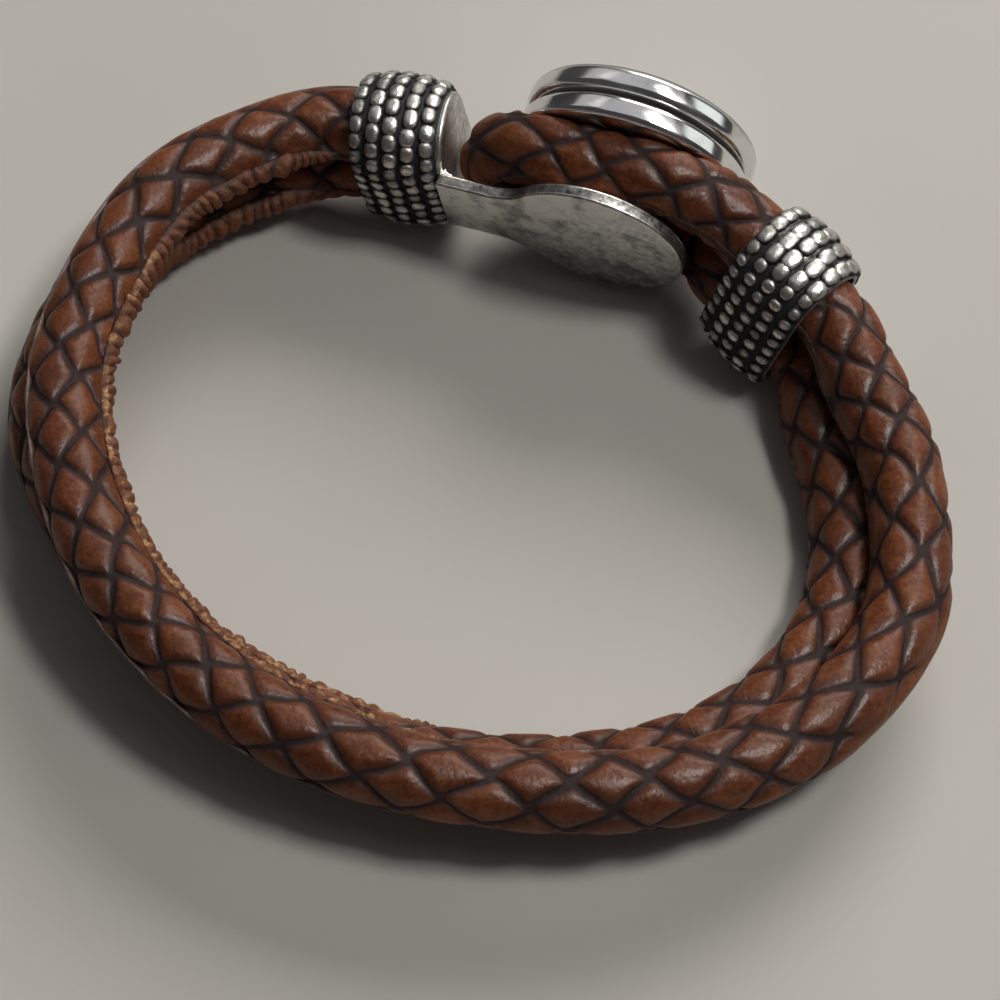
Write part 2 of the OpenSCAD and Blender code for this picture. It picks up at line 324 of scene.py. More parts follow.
# Columns: length along the cord, pads counted so far, turn of the pattern in degrees
pad_rows = [
    (0, 0.2, 38),
    (15, 3.1, 35),
    (31, 6, 18),
    (44, 8.5, 14),
    (60, 11.5, 24),
    (70, 13.5, 6),
    (80, 15.5, 16),
    (98, 18.5, 27),
    (120, 22.5, 43),
    (133, 24.5, 30),
    (145, 26.5, 27),
    (156, 29, 20),
    (170, 31.5, -6),
    (187, 35, 28),
    (250, 46.5, 10),
    (261, 48.5, -2),
    (379, 70.5, 10),
]


def evened(values, reach):
    """Each value made the mean of its neighbours up to reach places away, which shortens the row."""
    return np.convolve(values, np.full(2 * reach + 1, 1 / (2 * reach + 1)), "valid")


def eased(column):
    at = np.arange(-table_ease, table_size + table_ease) * table_step
    return evened(np.interp(at, *(np.array(pad_rows)[:, n] for n in (0, column))), table_ease)


pad_count, pad_turn = eased(1), np.radians(eased(2))


def pad_lattice(s, angle):
    """How many grooves of either way lie between the cord's end and this place on its skin."""
    at = np.arange(table_size) * table_step
    w = (angle - math.pi + np.interp(s, at, pad_turn)) * cord_r / row_pitch
    count = np.interp(s, at, pad_count)
    drift = pad_drift * np.sin(s / 1.31 - 0.7 * w + 1.3)
    return count + w / 2 + drift, count - w / 2 + pad_drift * np.sin(s / 1.13 + 1.3 * w)


def pad_reach(a, b):
    """0 in the middle of a pad, 1 in the middle of the groove between two pads."""
    fa, fb = a - np.floor(a) - 0.5, b - np.floor(b) - 0.5
    qa, qb = np.abs(2 * (fa + pad_skew[0] * fb)), np.abs(2 * (fb + pad_skew[1] * fa))
    return (qa**pad_round + qb**pad_round) ** (1 / pad_round)


def smooth(low, high, x):
    t = np.clip((x - low) / (high - low), 0, 1)
    return t * t * (3 - 2 * t)


def wrapped_grid(name, rings, sides, shape):
    """A flat grid of rings by sides faces, whose points are then put where shape(i, k) says."""
    bpy.ops.mesh.primitive_grid_add(x_subdivisions=rings, y_subdivisions=sides, size=2, calc_uvs=True)
    made = bpy.context.object
    made.name = name
    made.data.name = name
    co = np.zeros(len(made.data.vertices) * 3)
    made.data.vertices.foreach_get("co", co)
    co = co.reshape(-1, 3)
    i = np.rint((co[:, 0] + 1) / 2 * rings).astype(int)
    k = np.rint((co[:, 1] + 1) / 2 * sides).astype(int)
    made.data.vertices.foreach_set("co", (shape(i, k) * mm).ravel())
    made.data.update()
    return made, i, k


def lay_uv(made, name, u, v):
    """A UV map from one value of u and of v for each point of the mesh."""
    corner = np.zeros(len(made.data.loops), int)
    made.data.loops.foreach_get("vertex_index", corner)
    layer = made.data.uv_layers.new(name=name)
    layer.data.foreach_set("uv", np.stack([u[corner], v[corner]], axis=1).ravel())


def lay_attribute(made, name, values):
    made.data.attributes.new(name, "FLOAT", "POINT").data.foreach_set("value", values)


# Points closer together than this are one
weld = 0.002


def edit(made):
    """Goes into edit mode on this mesh alone, with all of it selected."""
    bpy.ops.object.select_all(action="DESELECT")
    bpy.context.view_layer.objects.active = made
    made.select_set(True)
    bpy.ops.object.mode_set(mode="EDIT")
    bpy.ops.mesh.select_all(action="SELECT")


def finish_mesh(made, angle=None, outwards=False):
    """Welds doubles and shades smooth, only across edges flatter than the angle where one is given."""
    edit(made)
    bpy.ops.mesh.remove_doubles(threshold=weld * mm)
    if outwards:
        bpy.ops.mesh.normals_make_consistent(inside=False)
    bpy.ops.object.mode_set(mode="OBJECT")
    if angle:
        bpy.ops.object.shade_smooth_by_angle(angle=math.radians(angle))
    else:
        bpy.ops.object.shade_smooth()
    made.select_set(False)


cord_rings, cord_sides = ((1300, 72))
ring_s = np.linspace(0, cord_length, cord_rings + 1)
ring_spot, ring_out, ring_across, ring_share, ring_dip = cord_places(ring_s)
side_angle = np.linspace(0, 2 * math.pi, cord_sides + 1)


def around(spot, across, out, angle, r):
    """Points at radius r round the cord's middle. Angle 0 faces the wrist, where the seam is."""
    return spot + r[:, None] * (np.sin(angle)[:, None] * across - np.cos(angle)[:, None] * out)


def stretched(s, a, start, full):
    """1 low on the outer side of the sharpest bend, where the leather is pulled smooth and bulges."""
    band = smooth(*np.radians(bend_low), a) * (1 - smooth(*np.radians(bend_high), a))
    return band * smooth(start, full, s) * (1 - smooth(*bend_end, s))


def cord_shape(i, k):
    """The cord's skin: pads and grooves, the smooth bulge, the foot of the seam and shallow waves."""
    s, a = ring_s[i], side_angle[k]
    reach = pad_reach(*pad_lattice(s, a))
    height = -groove_share * pad_depth * smooth(groove_edge, 1.0, reach)
    height = height - pad_crown * np.minimum(reach, 1) ** 2
    height = height * (1 - plain_share * stretched(s, a, *plain_start))
    height = height + bulge_h * stretched(s, a, *bulge_start)
    foot = np.minimum(a, 2 * math.pi - a) / np.radians(foot_half + foot_gain * ring_share[i])
    edge = 1 - smooth(*foot_edge, foot)
    height = height * (1 - edge) - foot_dip * edge
    height = height + foot_share * seam_h * ring_share[i] * np.clip(1 - foot, 0, 1)
    for wave_h, wave_length, turns in leather_waves:
        height = height + wave_h * np.sin(s / wave_length + turns * a)
    return pressed(around(ring_spot[i], ring_across[i], ring_out[i], a + ring_dip[i], cord_r + height))


cord, i, k = wrapped_grid("braided_leather_cord", cord_rings, cord_sides, cord_shape)
lay_attribute(cord, "plain", stretched(ring_s[i], side_angle[k], *plain_start))
lay_uv(cord, "braid", *pad_lattice(ring_s[i], side_angle[k]))


def close_tube(made):
    """Welds the long edge of a tube and closes its two ends."""
    edit(made)
    bpy.ops.mesh.remove_doubles(threshold=weld * mm)
    bpy.ops.mesh.select_all(action="SELECT")
    bpy.ops.mesh.fill_holes(sides=0)
    bpy.ops.object.mode_set(mode="OBJECT")


close_tube(cord)
finish_mesh(cord)

leather, tree = new_material("waxed_braid_leather")


def calc(tree, operation, *values, clamp=False):
    made = tree.nodes.new("ShaderNodeMath")
    made.operation = operation
    made.use_clamp = clamp
    for socket, value in zip(made.inputs, values):
        if isinstance(value, bpy.types.NodeSocket):
            tree.links.new(value, socket)
        else:
            socket.default_value = value
    return made.outputs[0]


def mix(tree, share, a, b):
    made = tree.nodes.new("ShaderNodeMix")
    made.data_type = "RGBA"
    for socket, value in ((made.inputs[0], share), (made.inputs[6], a), (made.inputs[7], b)):
        if isinstance(value, bpy.types.NodeSocket):
            tree.links.new(value, socket)
        elif isinstance(value, tuple):
            socket.default_value = (*value, 1)
        else:
            socket.default_value = value
    return made.outputs[2]


def step(tree, value, low, high, out_low=0.0, out_high=1.0):
    inputs = {"Value": value, "From Min": low, "From Max": high, "To Min": out_low, "To Max": out_high}
    return add(tree, "ShaderNodeMapRange", inputs, interpolation_type="SMOOTHSTEP").outputs["Result"]


def bump(tree, height, strength, distance, **below):
    inputs = {"Height": height, "Strength": strength, "Distance": distance, **below}
    return add(tree, "ShaderNodeBump", inputs).outputs["Normal"]


def attribute(tree, name):
    return add(tree, "ShaderNodeAttribute", attribute_name=name).outputs["Fac"]


braid = add(tree, "ShaderNodeUVMap", uv_map="braid")
lattice = add(tree, "ShaderNodeSeparateXYZ", {"Vector": braid.outputs["UV"]})
fa = calc(tree, "SUBTRACT", calc(tree, "FRACT", lattice.outputs["X"]), 0.5)
fb = calc(tree, "SUBTRACT", calc(tree, "FRACT", lattice.outputs["Y"]), 0.5)
qa = calc(tree, "MULTIPLY", calc(tree, "ABSOLUTE", calc(tree, "MULTIPLY_ADD", fb, pad_skew[0], fa)), 2)
qb = calc(tree, "MULTIPLY", calc(tree, "ABSOLUTE", calc(tree, "MULTIPLY_ADD", fa, pad_skew[1], fb)), 2)
powers = calc(tree, "ADD", calc(tree, "POWER", qa, pad_round), calc(tree, "POWER", qb, pad_round))
reach = calc(tree, "POWER", powers, 1 / pad_round)
cell = add(tree, "ShaderNodeCombineXYZ", {
    "X": calc(tree, "FLOOR", lattice.outputs["X"]), "Y": calc(tree, "FLOOR", lattice.outputs["Y"])})
own_tone = add(tree, "ShaderNodeTexWhiteNoise", {"Vector": cell.outputs["Vector"]}, noise_dimensions="2D")
place = add(tree, "ShaderNodeTexCoord").outputs["Object"]
broad = noise(tree, place, 170.0, 3.0)
blotch = noise(tree, place, 620.0, 5.0, 0.62)
fine = noise(tree, place, 2600.0, 3.0)
pebble = add(tree, "ShaderNodeTexVoronoi", {"Vector": place, "Scale": 3000.0}, feature="SMOOTH_F1")
uneven = calc(tree, "MULTIPLY_ADD", calc(tree, "SUBTRACT", broad, 0.5), 0.22, reach)
wobble = calc(tree, "MULTIPLY_ADD", calc(tree, "SUBTRACT", blotch, 0.5), 0.16, uneven)
plain = attribute(tree, "plain")
wobble = calc(tree, "MULTIPLY_ADD", plain, -0.55, wobble)
groove = step(tree, wobble, 0.80, 0.95)
tone = calc(tree, "MULTIPLY_ADD", own_tone.outputs["Value"], 0.12,
            calc(tree, "MULTIPLY_ADD", fine, 0.48, calc(tree, "MULTIPLY", blotch, 0.42)))
pad_colour = ramp(tree, tone, (0.36, (0.095, 0.023, 0.006)), (0.5, (0.165, 0.043, 0.012)),
                  (0.64, (0.245, 0.078, 0.026)))
pad_colour = mix(tree, step(tree, broad, 0.4, 0.7, 0.0, 0.45), pad_colour, (0.100, 0.030, 0.014))
pad_colour = mix(tree, step(tree, wobble, 0.50, 0.86, 0.0, 0.6), pad_colour, (0.062, 0.022, 0.015))
pad_colour = mix(tree, step(tree, plain, 0.2, 1.0, 0.0, 0.40), pad_colour, (0.185, 0.090, 0.048))
groove_colour = ramp(tree, fine, (0.35, (0.016, 0.005, 0.004)), (0.7, (0.034, 0.013, 0.011)))
colour = mix(tree, groove, pad_colour, groove_colour)
rough = calc(tree, "MULTIPLY_ADD", blotch, 0.30, calc(tree, "MULTIPLY_ADD", groove, 0.34, 0.26))
skin = calc(tree, "MULTIPLY_ADD", pebble.outputs["Distance"], 0.6,
            calc(tree, "MULTIPLY_ADD", fine, 0.6, calc(tree, "MULTIPLY", blotch, 2.0)))
grain = bump(tree, skin, 0.65, 0.00007)
sharper = step(tree, wobble, 0.80, 0.98, 1.0, 0.0)
press = bump(tree, sharper, 0.7, 0.00009, Normal=grain)
surface(tree, {"Base Color": colour, "Roughness": rough, "Normal": press, "Specular IOR Level": 0.24})
cord.data.materials.append(leather)
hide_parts("leather_cord")
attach(cord, "bracelet")


# SEAM OF THE CORD
# The two raw edges of the leather, turned up and sewn together along the side that faces the
# wrist. The thread pulls them into small puckers, and their cut faces are rough and lighter.
# Painted shade darkens the creases between puckers, and the seam where it is pulled shut.
pucker = 1.15
pucker_lean, pucker_sway = 0.4, 0.5
# Columns: how far the puckers crowd together, length over 2 pi of that wave
crowding = [(0.5, 5.1), (0.35, 1.7), (0.2, 0.9)]
lobe_round, lobe_least, lobe_edge = 0.8, 0.45, (-0.78, -0.52)
raw_place, raw_half = -0.74, 0.13
seam_end = 0.4
open_to, shut_from = 80, 105
frayed_from, frayed_full = 20, 36
shut_share, shut_crumbs, shut_sink = 0.30, 0.09, 0.07
# Columns: least share of the strip's height, what the swell or the crumbs add
lobe_rise, raw_rise, ridge_rise = (0.42, 0.58), (0.25, 0.45), (0.25, 0.20)
sunk_edge = 0.10
low_half, high_half = math.radians(6.5), math.radians(13.5)
least_wide, swell_wide, crumb_wide = 0.80, 0.38, 0.12
broad_sway, fine_sway = math.radians(2), math.radians(1.5)
strip_t = 0.2
seam_rings, seam_sides = ((2400, 12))
seam_s = np.linspace(seam_end, cord_length - seam_end, seam_rings + 1)
seam_spot, seam_out, seam_across, seam_share, seam_dip = cord_places(seam_s)
seam_u = np.linspace(-1, 1, seam_sides + 1)


def luck(n, salt):
    """A steady value between 0 and 1 for each whole number n."""
    return np.mod(np.abs(np.sin(n * 12.9898 + salt) * 437.585), 1)


def seam_parts(i, k):
    """Share of the puckered edge and of the raw edge, swell of the folds, crumbs, and place across."""
    s = seam_s[i]
    u = seam_u[k] * np.where(s < cord_length / 2, 1, -1)
    # Each pucker leans its own way across the strip, and here and there they crowd together
    lean = pucker_lean * u + pucker_sway * u * np.sin(s / 2.9) + 0.18 * np.sin(3 * u + s / 1.3)
    phase = (s + lean) / pucker
    for shift, length in crowding:
        phase = phase + shift * np.sin(s / length)
    n = np.floor(phase)
    # Its lobe has its own height and its own middle, and falls off towards the strip's edges
    swell = np.sin(math.pi * (phase - n)) ** lobe_round * (lobe_least + (1 - lobe_least) * luck(n, 1.0))
    swell = swell * np.clip(1.25 - np.abs(u - 0.4 * (luck(n, 4.0) - 0.5)) ** 3, 0, 1)
    lobed = smooth(*lobe_edge, u)
    ridge = np.exp(-((u - raw_place + 0.10 * (luck(n, 2.0) - 0.5)) / raw_half) ** 2)
    # Crumbs and wrinkles are far finer, and their pace sways
    crumbs = np.sin(s / 0.23 + 4 * np.sin(s / 1.3)) + np.sin(s / 0.16 + 3 * u + 5 * np.sin(s / 0.9))
    wrinkle = np.sin(s / 0.17 + 2.5 * u + 3 * np.sin(s / 1.1 + u))
    return lobed, ridge * (1 - lobed), swell * (0.90 + 0.10 * wrinkle), 0.5 + 0.25 * crumbs, u


def from_end(i):
    return np.minimum(seam_s[i], cord_length - seam_s[i])


def seam_shown(i):
    """1 along the first part of each run, where the seam stands open, and 0 where it is pulled shut."""
    return 1 - smooth(open_to, shut_from, from_end(i))


def seam_shape(i, k):
    """The strip stands full where the seam is open, and is low, narrow and crumbly where it is shut."""
    s = seam_s[i]
    puff = seam_share[i] * (shut_share + (1 - shut_share) * seam_shown(i))
    lobed, ridge, swell, crumbs, u = seam_parts(i, k)
    full = sunk_edge + (seam_h + 0.02) * puff
    crown = np.clip(1 - np.abs(u) ** 3, 0, 1)
    rise = lobed * (lobe_rise[0] + lobe_rise[1] * swell) + (1 - lobed) * (raw_rise[0] + raw_rise[1] * swell)
    rise = rise + ridge * (ridge_rise[0] + ridge_rise[1] * crumbs)
    height = full * crown * rise - sunk_edge
    height = height + (1 - puff) * (shut_crumbs * crown * (crumbs - 0.4) - shut_sink)
    wide = least_wide + swell_wide * swell * puff + crumb_wide * crumbs * (1 - lobed) * puff
    side = np.where(s < cord_length / 2, 1, -1)
    half = low_half + high_half * puff
    wander = broad_sway * np.sin(s / 2.3) + fine_sway * (1 - puff) * np.sin(s / 0.83)
    angle = half * u * side * wide + wander + seam_dip[i]
    return pressed(around(seam_spot[i], seam_across[i], seam_out[i], angle, cord_r + height))


seam, i, k = wrapped_grid("seam_edges", seam_rings, seam_sides, seam_shape)
_, ridge, swell, crumbs, _ = seam_parts(i, k)
# Crest paints the puckers lighter on their swell and darker in the creases: painted shade.
lay_attribute(seam, "crest", smooth(-0.20, 0.50, swell))
lay_attribute(seam, "raw", ridge * (0.4 + 0.6 * crumbs) * smooth(frayed_from, frayed_full, from_end(i)))
lay_attribute(seam, "shown", seam_shown(i) * np.clip(2 * seam_share[i], 0, 1))
thick = seam.modifiers.new("thickness", "SOLIDIFY")
thick.thickness = strip_t * mm
thick.offset = 0
bpy.ops.object.modifier_apply(modifier="thickness")
finish_mesh(seam, outwards=True)

raw, tree = new_material("raw_leather_edge")
crest, raw_side, shown = (attribute(tree, name) for name in ("crest", "raw", "shown"))
place = add(tree, "ShaderNodeTexCoord").outputs["Object"]
fuzz = noise(tree, place, 3000.0, 4.0, 0.7)
clump = noise(tree, place, 1100.0, 3.0)
bright = calc(tree, "MULTIPLY_ADD", fuzz, 0.9, calc(tree, "MULTIPLY", clump, 0.6))
raw_colour = ramp(tree, bright, (0.50, (0.10, 0.032, 0.010)), (0.66, (0.26, 0.105, 0.034)),
                  (0.80, (0.42, 0.21, 0.08)), (0.92, (0.60, 0.38, 0.19)))
# Painted shade: the puckers' colour is darker in the creases between them.
lobe_tone_and_crease_shade = calc(tree, "MULTIPLY_ADD", clump, 0.35,
                 calc(tree, "MULTIPLY_ADD", fuzz, 0.30, calc(tree, "MULTIPLY", crest, 0.50)))
lobe_colour = ramp(tree, lobe_tone_and_crease_shade, (0.34, (0.014, 0.004, 0.002)), (0.54, (0.080, 0.021, 0.006)),
                   (0.76, (0.165, 0.048, 0.015)), (0.95, (0.25, 0.086, 0.031)))
frayed = calc(tree, "MULTIPLY", step(tree, raw_side, 0.10, 0.40), step(tree, clump, 0.42, 0.56))
frayed = calc(tree, "MULTIPLY", frayed, shown)
seam_colour_and_shade = mix(tree, frayed, lobe_colour, raw_colour)
# Painted shade: where the seam is pulled shut between the runs, it is painted darker.
seam_colour_and_shade = mix(tree, step(tree, shown, 0.0, 1.0, 0.74, 0.0), seam_colour_and_shade, (0.024, 0.010, 0.008))
surface(tree, {
    "Base Color": seam_colour_and_shade, "Roughness": step(tree, raw_side, 0.0, 1.0, 0.48, 0.8),
    "Normal": bump(tree, fuzz, 0.9, 0.00018), "Specular IOR Level": 0.28})
seam.data.materials.append(raw)
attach(seam, "bracelet")


# PAINTED HIGHLIGHT LINE ON THE CORD
# A thin raised strip along the side away from the wrist, coloured lighter than the leather: a
# painted highlight where the cord's edge catches the light. It runs straight over pads and grooves.
line_half = 0.085
line_h = 0.045
line_foot = 0.42
line_end = 2
line_ease = 8
# Columns: length along the cord, place of the line round it in degrees
line_rows = [
    (0, 200),
    (33, 204),
    (46, 208),
    (55, 194),
    (62, 184),
    (71, 181),
    (76, 164),
    (82, 150),
    (92, 122),
    (150, 122),
    (165, 180),
    (379, 180),
]
line_rings, line_sides = ((1300, 8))
line_s = np.linspace(line_end, cord_length - line_end, line_rings + 1)
line_spot, line_out, line_across, _, line_dip = cord_places(line_s)
line_angle = np.radians(np.interp(line_s, *np.array(line_rows).T))
line_angle = evened(np.pad(line_angle, line_ease, mode="edge"), line_ease)


def line_shape(i, k):
    """A thin tube: its upper half is the line, and its lower half lies deeper than the grooves."""
    turn = 2 * math.pi * k / line_sides
    rise = np.where(np.sin(turn) > -0.1, line_h * np.maximum(np.sin(turn), 0), -line_foot)
    rise = rise + bulge_h * stretched(line_s[i], line_angle[i], *bulge_start)
    angle = line_angle[i] + line_dip[i] + line_half / cord_r * np.cos(turn)
    return pressed(around(line_spot[i], line_across[i], line_out[i], angle, cord_r + rise))


highlight_line, i, k = wrapped_grid("highlight_line", line_rings, line_sides, line_shape)
close_tube(highlight_line)
finish_mesh(highlight_line, outwards=True)
highlight_paint, tree = new_material("painted_edge_highlight")
fine = noise(tree, add(tree, "ShaderNodeTexCoord").outputs["Object"], 1500.0, 3.0)
# The lighter colour is a painted highlight along the cord's edge.
highlight_colour = ramp(tree, fine, (0.35, (0.070, 0.030, 0.019)), (0.65, (0.150, 0.082, 0.056)))
surface(tree, {"Base Color": highlight_colour, "Roughness": 0.5})
highlight_line.data.materials.append(highlight_paint)
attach(highlight_line, "bracelet")


# BEADED COLLARS
# Two oval rings of cast zinc alloy, plated in silver and blackened, with five rows of grains.
# The clasp's collar is closed at its far end, where the cord ends are glued in; the slider is open.
collar_r = 3.7
collar_bulge = 0.65
bore_r = 3.25
grain_rows = 5
grain_count = 28
grain_h = 0.45
ridge_h = 0.16
# Powers that square a ball up to a grain: along the collar, round it and outwards
grain_square = np.array((0.88, 0.72, 0.80))
# Half sizes and shifts of a grain, long in halves of the spacing and tall in grain heights. Columns:
# full, less where it is small, spread, more spread and more size where it is run together
grain_wide = (0.66, 0.09, 0.09, 0.0, 0.2)
grain_long = (1.14, 0.50, 0.14, 0.0, 1.0)
grain_tall = (1.06, 0.22, 0.20, 0.5, 0.0)
grain_shift = (0.0, 0.0, 0.12, 0.5, 0.0)
grain_drift = (0.0, 0.0, 0.12, 1.2, 0.0)
bend_steps = 24
lip = 0.12
lip_in, lip_down = 0.04, 0.03
cap_t = 0.6


def barrel_r(x):
    return collar_r + collar_bulge * (1 - (x / mouth) ** 2)


def ridge_at(x):
    """1 on the ridge under each row of grains, 0 in the valley between two rows."""
    return 0.5 + 0.5 * math.cos(2 * math.pi * grain_rows * x / collar_len)


def spun_long_round(name, profile):
    """A profile of (x, radius) points, turned round both ends of a long round section."""
    mesh = bpy.data.meshes.new(name)
    steps = [(n, n + 1) for n in range(len(profile) - 1)]
    mesh.from_pydata([(x, 0, run_half + r) for x, r in profile], steps, [])
    made = bpy.data.objects.new(name, mesh)
    bpy.context.scene.collection.objects.link(made)
    edit(made)
    bpy.ops.mesh.spin(steps=bend_steps // 2, angle=math.pi / 2, center=(0, 0, run_half), axis=(1, 0, 0))
    bpy.ops.mesh.extrude_edges_move(TRANSFORM_OT_translate={"value": (0, 0, -2 * run_half)})
    bpy.ops.mesh.spin(steps=bend_steps, angle=math.pi, center=(0, 0, -run_half), axis=(1, 0, 0))
    bpy.ops.mesh.extrude_edges_move(TRANSFORM_OT_translate={"value": (0, 0, 2 * run_half)})
    bpy.ops.mesh.spin(steps=bend_steps // 2, angle=math.pi / 2, center=(0, 0, run_half), axis=(1, 0, 0))
    bpy.ops.mesh.select_all(action="SELECT")
    bpy.ops.mesh.remove_doubles(threshold=weld)
    bpy.ops.mesh.normals_make_consistent(inside=False)
    bpy.ops.object.mode_set(mode="OBJECT")
    return made


def outline_place(w, r):
    """The middle of its curve and the way out, for the place w mm round a long round outline."""
    flat = 2 * run_half
    bend = math.pi * r
    if w < flat:
        return (0, run_half - w), (1, 0)
    if w < flat + bend:
        a = (w - flat) / r
        return (0, -run_half), (math.cos(a), -math.sin(a))
    if w < 2 * flat + bend:
        return (0, w - flat - bend - run_half), (-1, 0)
    a = (w - 2 * flat - bend) / r
    return (0, run_half), (-math.cos(a), math.sin(a))


bpy.ops.mesh.primitive_uv_sphere_add(segments=12, ring_count=8, radius=1)
grain_ball = bpy.context.object
ball_co = np.array([v.co for v in grain_ball.data.vertices])
ball_faces = [tuple(p.vertices) for p in grain_ball.data.polygons]
bpy.data.objects.remove(grain_ball)


def grain_measure(columns, small, joined, chance):
    full, less, spread, wilder, more = columns
    return full - less * small + (spread + wilder * joined) * chance + more * joined


def grains(name, low_side, shrink, merge):
    """The cast grains: run together by merge on the upper side, and smaller by shrink on the low side."""
    points, faces, worn = [], [], []
    along_collar = np.array((1, 0, 0))
    for row in range(grain_rows):
        x = collar_len * ((row + 0.5) / grain_rows - 0.5)
        base = barrel_r(x)
        slope = -2 * collar_bulge * x / mouth**2
        spacing = (4 * run_half + 2 * math.pi * base) / grain_count
        for n in range(grain_count):
            (oy, oz), (ny, nz) = outline_place(spacing * (n + 0.5 * (row % 2)), base)
            out = np.array((0, ny, nz))
            tangent = np.array((0, -nz, ny))
            flatness = float(smooth(0.15, 0.85, low_side(ny, nz)))
            small, joined = shrink * flatness, merge * (1 - flatness)
            own = [luck(n + 31.0 * row, salt) - 0.5 for salt in (1.0, 2.0, 3.0)]
            wide, long, tall, shift, drift = (
                grain_measure(columns, small, joined, own[which])
                for columns, which in ((grain_wide, 0), (grain_long, 1), (grain_tall, 2),
                                       (grain_shift, 1), (grain_drift, 0))
            )
            powers = grain_square + (0, (1 - grain_square[1]) * small, 0)
            co = np.sign(ball_co) * np.abs(ball_co) ** powers
            start = len(points)
            points.extend(
                np.array((x, oy, oz)) + base * out
                + np.outer(co[:, 0] * wide + shift, unit(along_collar + slope * out))
                + np.outer(co[:, 1] * long * spacing / 2 + drift, tangent)
                + np.outer(co[:, 2] * tall * grain_h, unit(out - slope * along_collar))
            )
            faces.extend(tuple(start + q for q in face) for face in ball_faces)
            worn.extend(smooth(0.10, 1.0, co[:, 2]) * (0.84 + 0.45 * own[0]))
    mesh = bpy.data.meshes.new(name)
    mesh.from_pydata([tuple(p) for p in points], [], faces)
    made = bpy.data.objects.new(name, mesh)
    bpy.context.scene.collection.objects.link(made)
    lay_attribute(made, "worn", np.array(worn))
    return made


def put(made, place):
    """Moves a shape drawn in mm in a casting's own frame to its place, in metres."""
    made.data.transform(Matrix.Scale(mm, 4) @ place)
    made.data.update()


def set_worn(made, value):
    """How bright each point is, by wear and in places by painted shade, from its place in the casting's
    frame.
    """
    co = np.array([v.co for v in made.data.vertices])
    lay_attribute(made, "worn", np.array([value(p) for p in co], float))


def slider_tone(p):
    # Brighter on the ridges, and darker towards the side facing the wrist and the lower run.
    if abs(abs(p[0]) - mouth) < 0.1:
        return 0.55
    return (0.30 + 0.80 * ridge_at(p[0])) * smooth(0.5, 5.5, 0.6 * p[1] + 0.8 * p[2])


def collar_wear(p):
    if p[0] > mouth + 0.05:
        return 0.78
    return 0.55 if p[0] < -mouth + 0.1 else 0.38 * ridge_at(p[0])


rim_r = barrel_r(mouth)
barrel_line = [(x, barrel_r(x) + ridge_h * ridge_at(x)) for x in np.linspace(-mouth + lip, mouth - lip, 41)]
lip_low = [(-mouth, bore_r + lip / 2), (-mouth, rim_r - lip), (-mouth + lip_in, rim_r - lip_down)]
lip_high = [(-x, r) for x, r in lip_low[::-1]]
bore = [(mouth - lip / 2, bore_r), (-mouth + lip / 2, bore_r)]
slider = spun_long_round("slider_collar_ring", bore[1:] + lip_low + barrel_line + lip_high + bore)
set_worn(slider, slider_tone)
put(slider, slider_frame)
finish_mesh(slider, angle=35, outwards=True)
slider_grains = grains("slider_collar_grains", lambda y, z: -y - 0.3 * z, shrink=0.7, merge=0.28)
put(slider_grains, slider_frame)
finish_mesh(slider_grains, outwards=True)

# Columns: how far beyond the collar's end, radius
cap_rows = [
    (0, rim_r - lip_down),
    (0.08, 3.60),
    (0.20, 3.64),
    (0.34, 3.60),
    (0.46, 3.46),
    (0.54, 3.20),
    (cap_t, 2.7),
    (cap_t + 0.04, 1.6),
    (cap_t + 0.05, 0.0),
]
cap = [(mouth + beyond, r) for beyond, r in cap_rows]
seat = [(mouth - seat_floor, 0.0), (mouth - seat_floor, bore_r), (-mouth + lip / 2, bore_r)]
collar = spun_long_round("clasp_collar_barrel", seat + lip_low + barrel_line + cap)
set_worn(collar, collar_wear)
put(collar, collar_frame)
finish_mesh(collar, angle=35, outwards=True)
collar_grains = grains("clasp_collar_grains", lambda y, z: -y - 0.5 * z, shrink=0.35, merge=0.05)
put(collar_grains, collar_frame)
finish_mesh(collar_grains, outwards=True)


def wear_and_shade_group():
    """Blackened silver: colour, roughness and shine from the bright share, set by wear and by painted
    shade.
    """
    group = bpy.data.node_groups.new("blackened_silver", "ShaderNodeTree")
    for name in ("Wear_and_shade", "Soil"):
        group.interface.new_socket(name=name, in_out="INPUT", socket_type="NodeSocketFloat")
    group.interface.new_socket(name="Colour", in_out="OUTPUT", socket_type="NodeSocketColor")
    for name in ("Roughness", "Metal", "Height"):
        group.interface.new_socket(name=name, in_out="OUTPUT", socket_type="NodeSocketFloat")
    enter, leave = group.nodes.new("NodeGroupInput"), group.nodes.new("NodeGroupOutput")
    place = add(group, "ShaderNodeTexCoord").outputs["Object"]
    spots = noise(group, place, 1900.0, 5.0, 0.65)
    broad = noise(group, place, 480.0, 3.0)
    ragged = calc(group, "SUBTRACT", spots, 0.5)
    dirt = calc(group, "MULTIPLY", enter.outputs["Soil"], calc(group, "SUBTRACT", 1.0, broad))
    share = calc(group, "SUBTRACT", calc(group, "ADD", enter.outputs["Wear_and_shade"], ragged), dirt, clamp=True)
    colour = ramp(group, share, (0.08, (0.008, 0.008, 0.009)), (0.40, (0.25, 0.24, 0.225)),
                  (0.72, (0.58, 0.565, 0.53)), (1.0, (0.86, 0.84, 0.79)))
    group.links.new(colour, leave.inputs["Colour"])
    group.links.new(step(group, share, 0.05, 0.8, 0.70, 0.27), leave.inputs["Roughness"])
    group.links.new(step(group, share, 0.0, 0.35, 0.35, 1.0), leave.inputs["Metal"])
    group.links.new(spots, leave.inputs["Height"])
    return group


def silver(tree, worn, soil):
    return add(tree, "ShaderNodeGroup", {"Wear_and_shade": worn, "Soil": soil}, node_tree=blackened_silver).outputs


